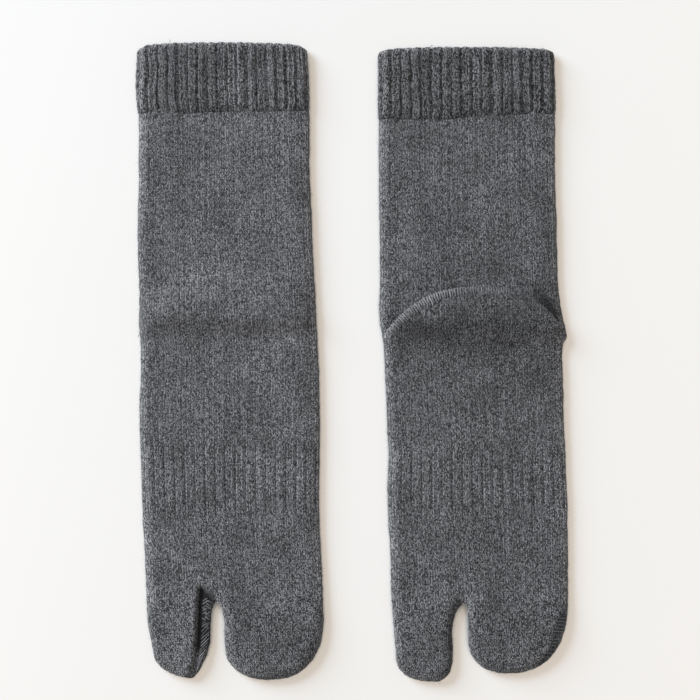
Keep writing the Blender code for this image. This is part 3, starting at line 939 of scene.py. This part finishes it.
def knitMaterial(name, group, shade, sheen, paintedGrooveShade, columns, grain):
    material, tree, shader = newMaterial(name, yarn["roughness"], yarn["specular"], **{
        "Sheen Weight": sheen, "Sheen Roughness": yarn["sheenRoughness"],
    })
    rough = paintedValue(tree, "rough")
    grainHere = times(tree, mathNode(tree, "MULTIPLY_ADD", rough, yarn["toeGrain"], 1.0), grain)
    paleHere = mathNode(tree, "MULTIPLY_ADD", rough, -yarn["toeDark"], yarn["paleness"])
    # painted shade in the ribs' grooves, where their purl columns fall in shadow
    dimmed = minus(tree, 1.0, times(tree, paintedValue(tree, "groove"), paintedGrooveShade))
    knitted = addNode(tree, "ShaderNodeGroup", node_tree=group, values={
        "Stitches": addNode(tree, "ShaderNodeUVMap", uv_map="stitches").outputs[0],
        "Place": addNode(tree, "ShaderNodeTexCoord").outputs["Object"],
        "Dark": yarn["dark"], "Light": yarn["light"], "Clouds": yarn["clouds"], "Columns": columns,
        "Grain": grainHere, "Paleness": paleHere,
        "Shade": times(tree, dimmed, paintedValue(tree, "tone"), shade),
    })
    tree.links.new(knitted.outputs["Colour"], shader.inputs["Base Color"])
    bump = addNode(tree, "ShaderNodeBump", values={
        "Strength": yarn["bump"], "Distance": yarn["relief"] * mm, "Height": knitted.outputs["Height"],
    })
    tree.links.new(bump.outputs[0], shader.inputs["Normal"])
    return material


# threads: tubes along polylines, for linked seams, ladders and loose ends
def buildThreadTree():
    tree, given, out = newTree("threads", "GeometryNodeTree", {
        "Geometry": "Geometry", "Radius": "Float", "Sides": "Int", "Yarn": "Material",
    }, {"Geometry": "Geometry"})
    paths = addNode(tree, "GeometryNodeMeshToCurve", values={"Mesh": given.outputs["Geometry"]})
    radius = times(tree, storedValue(tree, "thickness"), given.outputs["Radius"])
    ring = addNode(tree, "GeometryNodeCurvePrimitiveCircle", values={"Resolution": given.outputs["Sides"]})
    tube = addNode(tree, "GeometryNodeCurveToMesh", values={
        "Curve": paths.outputs[0], "Profile Curve": ring.outputs[0], "Scale": radius, "Fill Caps": True,
    })
    smooth = addNode(tree, "GeometryNodeSetShadeSmooth", values={"Geometry": tube.outputs[0]})
    return endTree(tree, smooth.outputs[0], given, out)


# fuzz: short loose fibres standing off the cloth
def buildFuzzTree():
    tree, given, out = newTree("fuzz", "GeometryNodeTree", {
        "Geometry": "Geometry", "Density": "Float", "Length": "Float", "Radius": "Float",
        "Seed": "Int", "Yarn": "Material",
    }, {"Geometry": "Geometry"})
    normal = addNode(tree, "GeometryNodeInputNormal").outputs[0]
    facing = addNode(tree, "ShaderNodeSeparateXYZ", values={0: normal}).outputs[2]
    upward = mathNode(tree, "GREATER_THAN", facing, -0.35)
    # thickest on the side folds, and thin where the cloth is dark
    folds = mathNode(tree, "POWER", minus(tree, 1.0, absolute(tree, facing)), 2.0)
    lit = mathNode(tree, "POWER", mathNode(tree, "MINIMUM", storedValue(tree, "tone"), 1.0), 3.0)
    density = times(tree, plus(tree, times(tree, folds, 11.0), 0.6), lit, given.outputs["Density"])
    roots = addNode(tree, "GeometryNodeDistributePointsOnFaces", values={
        "Mesh": given.outputs["Geometry"], "Density": density, "Seed": given.outputs["Seed"],
        "Selection": upward,
    })
    bow = addNode(tree, "GeometryNodeCurveQuadraticBezier", values={
        "Resolution": 4, "Start": (0, 0, 0), "Middle": (0.15, 0.1, 0.55), "End": (0.75, -0.1, 0.7),
    })
    ring = addNode(tree, "GeometryNodeCurvePrimitiveCircle", values={"Resolution": 3})
    setInput(tree, ring, "Radius", mathNode(tree, "DIVIDE", given.outputs["Radius"], given.outputs["Length"]))
    hair = addNode(tree, "GeometryNodeCurveToMesh", values={
        "Curve": bow.outputs[0], "Profile Curve": ring.outputs[0], "Fill Caps": True,
    })
    put = addNode(tree, "GeometryNodeInstanceOnPoints", values={
        "Points": roots.outputs["Points"], "Instance": hair.outputs[0], "Rotation": roots.outputs["Rotation"],
    })
    size, sizes = randomNode(tree, "FLOAT", 0.45, 1.35)
    setInput(tree, size, "Seed", given.outputs["Seed"])
    setInput(tree, put, "Scale", times(tree, sizes, given.outputs["Length"]))
    _, spins = randomNode(tree, "FLOAT_VECTOR", (-0.5, -0.5, 0), (0.5, 0.5, 6.283))
    turned = addNode(tree, "GeometryNodeRotateInstances", values={"Instances": put.outputs[0], "Rotation": spins})
    return endTree(tree, turned.outputs[0], given, out)


def threadMaterial(name, dark, light, sheen):
    material, tree, shader = newMaterial(name, 0.9, 0.2, **{"Sheen Weight": sheen})
    flecks = smoothNoise(tree, addNode(tree, "ShaderNodeTexCoord").outputs["Object"], 1400.0, 2.0)
    tone = paintedValue(tree, "tone")
    colour = blendColour(tree, fade(tree, flecks, 0.3, 0.7), dark, light)
    tinted = blendColour(tree, 1.0, colour, combine(tree, tone, tone, tone), "MULTIPLY")
    tree.links.new(tinted, shader.inputs["Base Color"])
    bump = addNode(tree, "ShaderNodeBump", values={"Strength": 0.5, "Distance": 0.15 * mm, "Height": flecks})
    tree.links.new(bump.outputs[0], shader.inputs["Normal"])
    return material


class ThreadStore:  # the paths of threads, gathered and then made tubes
    def __init__(self):
        self.points, self.edges, self.thickness, self.tone = [], [], [], []

    def add(self, path, thickness=1.0, tone=1.0):
        first = len(self.points)
        self.points += [tuple(point) for point in path]
        self.edges += [(first + i, first + i + 1) for i in range(len(path) - 1)]
        taper = np.sin(np.linspace(0.18 * math.pi, 0.82 * math.pi, len(path))) ** 0.5
        self.thickness += list(thickness * taper)
        self.tone += [tone] * len(path)

    def build(self, name, tree, settings):
        mesh = bpy.data.meshes.new(name)
        mesh.from_pydata(self.points, self.edges, [])
        for key, value in (("thickness", self.thickness), ("tone", self.tone)):
            attribute = mesh.attributes.new(key, "FLOAT", "POINT")
            attribute.data.foreach_set("value", np.array(value, np.float32))
        piece = bpy.data.objects.new(name, mesh)
        scene.collection.objects.link(piece)
        treeModifier(piece, tree, settings)
        return settle(piece)


knitGroup = buildKnitGroup()
ribTree = buildRibTree()
threadTree = buildThreadTree()
fuzzTree = buildFuzzTree()
threadLooks = {
    "seamYarn": {"dark": (0.15, 0.15, 0.158, 1), "light": (0.36, 0.36, 0.375, 1), "sheen": 0.5},
    "looseFibre": {"dark": (0.11, 0.11, 0.115, 1), "light": (0.30, 0.30, 0.31, 1), "sheen": 0.3},
}
seamYarn, looseFibre = (threadMaterial(name, **look) for name, look in threadLooks.items())

# the two sock bodies, from under the cuff to the toe tips
archRibs = {"Repeat": 4.0, "Valley": 0.085, "Softness": 0.075, "Depth": 0.5 * mm, "Lumps": 1.3 * mm}
bodies = {}
for sock in (leftSock, rightSock):
    body = buildBody(sock)
    plain = knitMaterial(
        sock["name"] + "Plain", knitGroup, sock["shade"], yarn["sheen"],
        yarn["archGrooveShade"], yarn["bodyColumns"], yarn["bodyGrain"],
    )
    treeModifier(body, ribTree, {**archRibs, "Yarn": plain})
    settle(body)
    bodies[sock["name"]] = body
    print("knitted the", sock["name"], "body:", len(body.data.polygons), "faces")

# the ribbed cuffs
cuff = {
    "length": 35.0,
    "thick": 5.7,
    "pointsPerWale": 3,
    "wall": 1.5,
    "foldWidth": 5.6,
    "rimRound": 3.4,
    "rimInset": 1.25,
    "rimBow": 1.2,
    "rimCornerPower": 14,
    "scallop": 0.2,
    "sway": 0.6,  # how far a rib wanders, in wales
    "ribTone": 0.24,
    "ribs": {"Repeat": 4.0, "Valley": 0.12, "Softness": 0.11, "Depth": 0.6 * mm, "Lumps": 1.5 * mm},
    # painted shade and light, with some uneven tone, on the face (x, down, turn, length, width, strength)
    "shadeAndTonePatches": {
        "left": [
            (-25, 12, 88, 17, 8, 0.36), (-34, 20, 88, 16, 6, 0.20), (-27, 34, 0, 12, 5, 0.16),
            (-8, 24, 0, 9, 7, -0.22), (18, 25, 0, 16, 6, -0.10), (38.5, 16, 90, 18, 2.6, -0.5),
            (-46.5, 16, 90, 18, 3, -0.22),
        ],
        "right": [
            (-2, 30, 0, 36, 7, 0.14), (-34, 27, 88, 12, 6, 0.24), (30, 10, 88, 9, 6, 0.14),
            (41.2, 14, 90, 16, 2.4, -0.5),
        ],
    },
    # how much paler the top rim is drawn: a painted highlight
    "rimHighlight": 0.6,
}


def buildCuff(sock):
    sides = sockSides(sock)
    edge = sideCurve(sock["cuffSide"], sock["seed"])
    store = ClothStore(sock)
    perSide = knit["wales"] // 2 * cuff["pointsPerWale"]
    downs = np.concatenate([[0, 0.2, 0.5, 0.9, 1.4, 2.2, 3.2], np.arange(4.4, 32.2, 1.35), [32.6, 33.6, 34.4, 35.1]])
    x = np.empty((len(downs), perSide + 1))
    half = np.empty(x.shape)
    for i, down in enumerate(downs):
        inward = 1 - math.sqrt(1 - max(0, 1 - down / cuff["rimRound"]) ** 2)
        thick = cuff["thick"] - 2 * cuff["rimInset"] * inward
        thick += (knit["thick"] + 0.1 - cuff["thick"]) * float(smoothStep((down - 25) / 8.5))
        thick -= 1.1 * float(smoothStep((down - 33.2) / 2.2))
        low = float(edge(down)) + cuff["rimInset"] * inward
        proud = 0.25 * (1 - float(smoothStep((down - 33) / 2)))  # the ribs stand past the leg's side
        high = float(sides["little"](down)) + proud - cuff["rimInset"] * inward
        x[i] = acrossLayer(low, high, cuff["foldWidth"], thick / 2, perSide)
        distance = np.minimum(x[i] - low, high - x[i])
        half[i] = thick / 2 * np.sqrt(1 - (1 - np.clip(distance / cuff["foldWidth"], 0, 1)) ** 2)
    half[:, [0, -1]] = 0
    down = np.repeat(downs[:, None], perSide + 1, axis=1)
    middle, width = (x[:, :1] + x[:, -1:]) / 2, (x[:, -1:] - x[:, :1]) / 2
    share = np.abs(x - middle) / width
    fadeOut = np.clip(1 - down / cuff["length"], 0, 1)
    wale = np.repeat(np.arange(perSide + 1)[None, :] / cuff["pointsPerWale"], len(downs), axis=0)
    band = (1 - smoothStep((down - 33.4) / 1.4)) * (0.3 + 0.7 * smoothStep(down / 2.6))
    lowered = (cuff["rimBow"] * share**2 + sock["rimCorner"] * share ** cuff["rimCornerPower"]) * fadeOut
    hang = cuffEnd(sock, x) * smoothStep((down - 10) / 24)
    ribs = range(knit["wales"] // 4 + 4)
    knotRows = np.array([[noise.noise(Vector((r * 9.1, d / 3.1, sock["seed"]))) for r in ribs] for d in downs])

    def perRib(step, lane):
        return np.array([noise.noise(Vector((r * step, sock["seed"], lane))) for r in ribs])

    for flip in (False, True):
        u = knit["wales"] - wale if flip else wale
        rib = np.floor(u / 4 + 0.5).astype(int)
        sway, drift = perRib(3.7, 2.0)[rib], perRib(5.3, 7.0)[rib]
        wander = np.cos(down / 7 + 3 * drift) + 0.6 * np.cos(down / 2.6 + 9 * drift)
        knots = np.take_along_axis(knotRows, rib, axis=1)
        u = u + cuff["sway"] * (sway * wander + drift + 1.1 * knots)
        tone = (1 + cuff["ribTone"] * 2 * sway) * (1 - 0.2 * smoothStep((down - 31.0) / 2.5))
        if not flip:
            # painted highlight along the cuff's top rim
            paintedRimShading = 1 + cuff["rimHighlight"] * np.exp(-((down / 1.9) ** 2))
            # painted shade and light from the cuff's patches
            tone = tone * paintedShadeAndTone(cuff["shadeAndTonePatches"][sock["name"]], x, down) * paintedRimShading
        wave = 0.5 - 0.5 * np.cos(2 * math.pi * u / 4)
        scalloped = cuff["scallop"] * wave * (1 + 1.2 * drift) * np.exp(-down / 3.0)
        middleHeight = cuff["thick"] / 2
        if flip:  # the underside is flat
            z = np.maximum(middleHeight - half, 0)
        else:
            z = middleHeight + (half + softNoise(x, down, sock["seed"] + 20) * 0.6 * (half / middleHeight) ** 2)
        store.add(x, down + lowered + scalloped + hang, z, u, down / knit["coursePitch"], band, tone, 1.0, flip)
    return store.build(sock["name"] + "Cuff")


cuffs = {}
for sock in (leftSock, rightSock):
    piece = buildCuff(sock)
    contrast = sock["cuffContrast"]
    ribbed = knitMaterial(
        sock["name"] + "Ribbed", knitGroup, sock["cuffShade"], yarn["cuffSheen"],
        yarn["cuffGrooveShade"] * contrast, yarn["cuffColumns"], yarn["cuffGrain"] * contrast,
    )
    treeModifier(piece, ribTree, {**cuff["ribs"], "Yarn": ribbed})
    cuffs[sock["name"]] = settle(piece)
    print("ribbed the", sock["name"], "cuff:", len(piece.data.polygons), "faces")

# linked stitches along the heel's fold, the gusset and the toe seams
seams = {
    "radius": 0.31,
    "sides": 7,
    "heelSpan": (-46.0, 20),  # x
    "heelPitch": 1.36,
    "heelStroke": 4.4,
    "gussetSpan": (288.5, 326),  # down
    "crossedTo": 303,
    "crossPitch": 0.85,
    "gussetPitch": 1.9,
    "goreSpan": (296.0, 318),  # down
    "gorePitch": 1.9,
    "loopSpan": (18.3, 27.6),  # x
    "loopPitch": 1.6,
}


def surfaceFinder(piece, sock):  # the cloth's top over a point of the plan, lifted off it
    tree = BVHTree.FromObject(piece, bpy.context.evaluated_depsgraph_get())

    def at(x, down, lift=0.0):
        hit, normal, _, _ = tree.ray_cast(Vector((*placeOf(sock, x, down), 0.05)), Vector((0, 0, -1)))
        return None if hit is None else hit + normal * lift * mm

    return at


def heelLadder(sock, onCloth, store):  # strokes over the fold, square to it
    rng = np.random.default_rng(41)
    x, last = seams["heelSpan"]
    while x < last:
        share = np.array([x, x + 0.1])
        arc = heelShape(sock, share, np.full(2, sock["heelDown"]))[0]
        slope = (arc[1] - arc[0]) / 0.1
        size = math.hypot(1, slope)
        inward = (slope / size, 1 / size)
        strength = float(np.interp(x, [-46, -42, -14, 0, 20], [0.5, 0.95, 0.85, 0.45, 0.2]))
        length = seams["heelStroke"] * (0.8 + 0.4 * rng.random()) * (0.6 + 0.4 * strength)
        lean = 0.25 * rng.normal()
        path = []
        for t in np.linspace(0, 1, 8):
            reach = -0.15 + length * t
            px = x + inward[0] * reach + lean * (t - 0.5) + 0.05 * rng.normal()
            pd = sock["heelDown"] - arc[0] + inward[1] * reach
            spot = onCloth(px, pd, -0.10 + 0.40 * strength * math.sin(math.pi * min(1, t * 0.9 + 0.05)))
            if spot is not None:
                path.append(spot)
        if len(path) > 3:
            thickness = 1.12 * strength ** 0.5 * (0.8 + 0.4 * rng.random())
            store.add(path, thickness, 0.40 + 0.30 * strength + 0.12 * rng.normal())
        x += seams["heelPitch"] / size * (0.88 + 0.24 * rng.random())


def gussetLadder(sock, onCloth, store):  # crossed, then slanting strokes down the big toe's side
    rows = np.array(sock["gusset"])
    inner = sockSides(sock)["bigInner"]
    rng = np.random.default_rng(23)
    (down, last), way = seams["gussetSpan"], 1
    while down < last:
        crossed = down < seams["crossedTo"]
        start = float(np.interp(down, rows[:, 0], rows[:, 1])) + 1.5
        room = float(inner(max(down, sock["crotch"][0]))) - 0.7 - start if down > sock["crotch"][0] else 4.4
        width = min(room, 4.6 if crossed else 5.4)
        rise = (2.2 + 1.2 * rng.random()) * way if crossed else 3.4 + 1.2 * rng.random()
        path = []
        if width > 1.2:
            begin = rng.choice([0.0, 0.42]) if crossed else 0.0
            for t in np.linspace(begin, begin + 0.58 if crossed else 1.0, 6):
                drop = down - rise * (t - 0.5) + 0.12 * rng.normal()
                spot = onCloth(start + width * t, drop, 0.02 + 0.24 * math.sin(math.pi * t))
                if spot is not None:
                    path.append(spot)
        if len(path) > 3:
            store.add(path, 0.5 + 0.4 * rng.random(), 0.28 + 0.64 * rng.random())
        down += seams["crossPitch" if crossed else "gussetPitch"] * (0.85 + 0.3 * rng.random())
        way = -way


def goreLadder(sock, onCloth, store):  # short strokes across the gore
    rows = np.array(sock["gore"])
    little = sockSides(sock)["little"]
    rng = np.random.default_rng(31)
    down, last = seams["goreSpan"]
    while down < last:
        left = float(np.interp(down, rows[:, 0], rows[:, 1])) + 0.2
        right = float(little(down)) - 1.0
        path = [
            onCloth(left + (right - left) * t, down + 0.5 * t, 0.05 + 0.2 * math.sin(math.pi * t))
            for t in np.linspace(0, 1, 6)
        ]
        if None not in path:
            store.add(path, 0.55, 0.26 + 0.14 * rng.random())
        down += seams["gorePitch"] * (0.85 + 0.3 * rng.random())


def tipLoops(sock, tip, inner, outer, onCloth, store):  # the small loops that close a toe pocket
    sides = sockSides(sock)
    rng = np.random.default_rng(7)
    end, shoulder = sock[tip]["down"], sock[inner][-1][0]
    downs = closeSteps(shoulder, shoulder, end)
    edge = np.concatenate([
        np.stack([sides[inner](downs), downs], axis=1), np.stack([sides[outer](downs), downs], axis=1)[::-1],
    ])
    edge = edge[np.argsort(edge[:, 0])]
    x, last = seams["loopSpan"]
    while x < last:
        height = float(np.interp(x, edge[:, 0], edge[:, 1])) - 2.7 + 0.3 * rng.normal()
        path = []
        for t in np.linspace(0, 1, 6):
            bow = math.sin(math.pi * t)
            spot = onCloth(x - 0.62 + 1.24 * t, height - 1.2 * bow, 0.12 + 0.25 * bow)
            if spot is not None:
                path.append(spot)
        if len(path) > 4:
            store.add(path, 0.65 + 0.4 * rng.random(), 0.35 + 0.75 * rng.random())
        x += seams["loopPitch"] * (0.9 + 0.2 * rng.random())


looseEnds = {  # (x, down, height) along each
    "left": [
        [(-31.5, 1.4, 3.6), (-31.3, 0.4, 4.0), (-31.2, -0.7, 4.0), (-31.4, -1.5, 3.6)],
        [(-45.6, 150.0, 3.6), (-46.9, 151.0, 3.2), (-47.9, 152.0, 2.6), (-48.2, 153.0, 2.2)],
    ],
    "right": [[(-22.4, 1.4, 3.8), (-22.2, 0.2, 4.2), (-21.6, -0.8, 4.0), (-20.8, -0.6, 3.4)]],
}
fuzz = {"density": 42000.0, "length": 1.5 * mm, "radius": 0.028 * mm}
stitching = {}
for sock in (leftSock, rightSock):
    name = sock["name"]
    onCloth = surfaceFinder(bodies[name], sock)
    store = ThreadStore()
    if sock["flapOnTop"]:
        heelLadder(sock, onCloth, store)
        goreLadder(sock, onCloth, store)
        tipLoops(sock, "fourTip", "fourInner", "little", onCloth, store)
    if "gusset" in sock:
        gussetLadder(sock, onCloth, store)
    for path in looseEnds[name]:
        store.add([(*placeOf(sock, x, down), z * mm) for x, down, z in path], 0.45, 0.6)
    threads = store.build(name + "Stitching", threadTree, {
        "Radius": seams["radius"] * mm, "Sides": seams["sides"], "Yarn": seamYarn,
    })
    fibres = []
    for piece, part in ((bodies[name], "Fuzz"), (cuffs[name], "CuffFuzz")):
        made = bpy.data.objects.new(name + part, piece.data.copy())
        scene.collection.objects.link(made)
        treeModifier(made, fuzzTree, {
            "Density": fuzz["density"], "Length": fuzz["length"], "Radius": fuzz["radius"],
            "Seed": int(sock["seed"]), "Yarn": looseFibre,
        })
        fibres.append(settle(made))
    stitching[name] = [threads] + fibres
    print("stitched the", name, "seams:", [len(piece.data.polygons) for piece in stitching[name]], "faces")

# the cloth's own thickness, inwards
for name in bodies:
    giveWall(bodies[name], knit["wall"], "wall")
    settle(bodies[name])
    giveWall(cuffs[name], cuff["wall"])
    settle(cuffs[name])

# what each piece rides on, stands for and was cut to
for sock in (leftSock, rightSock):
    name = sock["name"]
    body, piece = bodies[name], cuffs[name]
    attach(body, "root")
    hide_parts(name + "_leg", name + "_heel_pocket", name + "_foot", name + "_big_toe", name + "_four_toes")
    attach(piece, "root")
    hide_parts(name + "_cuff")
    for extra in stitching[name]:
        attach(extra, "root")

# the pale floor; its glow is painted light standing for light bounced on it, and its colour is tinted cool against
# the glow's warmth, so the light on it reads cool and its shadows warm
floorLook = {
    "colour": (0.438, 0.505, 0.560, 1), "glow": (0.481, 0.399, 0.318), "size": 4.0,
    "span": 0.15, "sides": 0.042, "right": 0.01, "top": -0.022,  # how much more painted glow to its sides, right and top
    "gap": 16 * mm, "gapDark": 650.0, "gapPower": 10.0, "gapMost": 0.75,  # how the cloth dims its painted glow: painted shade where the cloth closes round the floor
}
floorMesh = bpy.data.meshes.new("floor")
reach = floorLook["size"] / 2
corners = [(-reach, -reach, 0), (reach, -reach, 0), (reach, reach, 0), (-reach, reach, 0)]
floorMesh.from_pydata(corners, [], [(0, 1, 2, 3)])
floor = bpy.data.objects.new("floor", floorMesh)
scene.collection.objects.link(floor)
paper, tree, shader = newMaterial("paleFloor", 0.9, 0.2, **{
    "Base Color": floorLook["colour"], "Emission Strength": 1.0,
})
place = addNode(tree, "ShaderNodeTexCoord").outputs["Object"]
middle = addNode(tree, "ShaderNodeSeparateXYZ", values={0: place})
sideways, upward = (mathNode(tree, "DIVIDE", middle.outputs[i], floorLook["span"]) for i in (0, 1))
lift = times(tree, sideways, sideways, floorLook["sides"])
lift = plus(tree, lift, times(tree, sideways, floorLook["right"]), times(tree, upward, floorLook["top"]), 1.0)
lift = mathNode(tree, "MINIMUM", lift, 1.1)
openness = addNode(tree, "ShaderNodeAmbientOcclusion", samples=12, values={"Distance": floorLook["gap"]})
closed = mathNode(tree, "POWER", minus(tree, 1.0, openness.outputs["AO"]), floorLook["gapPower"])
closed = mathNode(tree, "MINIMUM", times(tree, closed, floorLook["gapDark"]), floorLook["gapMost"])
# the painted glow, stronger to the sides and dimmed near the cloth
glow = addNode(tree, "ShaderNodeVectorMath", operation="SCALE", values={0: floorLook["glow"]})
setInput(tree, glow, "Scale", times(tree, lift, minus(tree, 1.0, closed)))
tree.links.new(glow.outputs[0], shader.inputs["Emission Color"])
floorMesh.materials.append(paper)

for sock in (leftSock, rightSock):
    name = sock["name"]
    threads, fibres, cuffFibres = stitching[name]

# soft studio light from the upper left, and the camera straight above
studio = {
    "key": 181.0, "keySize": 1.9, "keyPlace": (-2.4, 1.8, 1.34), "keyColour": (0.94, 1.0, 1.06),
    "ambient": 0.35, "ambientColour": (1.03, 1.0, 0.97, 1),
}
view = {"lens": 85, "sensor": 36, "clip": 0.05, "place": (-0.0013, 0.0063, 0.861)}
keyLight = bpy.data.lights.new("softBox", "AREA")
keyLight.shape = "SQUARE"
keyLight.size = studio["keySize"]
keyLight.energy = studio["key"]
keyLight.color = studio["keyColour"]
key = bpy.data.objects.new("softBox", keyLight)
key.location = studio["keyPlace"]
key.rotation_euler = (Vector((0, 0, 0)) - key.location).to_track_quat("-Z", "Y").to_euler()
scene.collection.objects.link(key)
world = bpy.data.worlds.new("studio")
scene.world = world
world.use_nodes = True
backdrop = world.node_tree.nodes["Background"]
backdrop.inputs["Color"].default_value = studio["ambientColour"]
backdrop.inputs["Strength"].default_value = studio["ambient"]
lens = bpy.data.cameras.new("camera")
lens.lens = view["lens"]
lens.sensor_width = view["sensor"]
lens.clip_start = view["clip"]
camera = bpy.data.objects.new("camera", lens)
camera.location = view["place"]
scene.collection.objects.link(camera)
scene.camera = camera
scene.view_settings.view_transform = "Standard"

print("laid the pair on the floor")
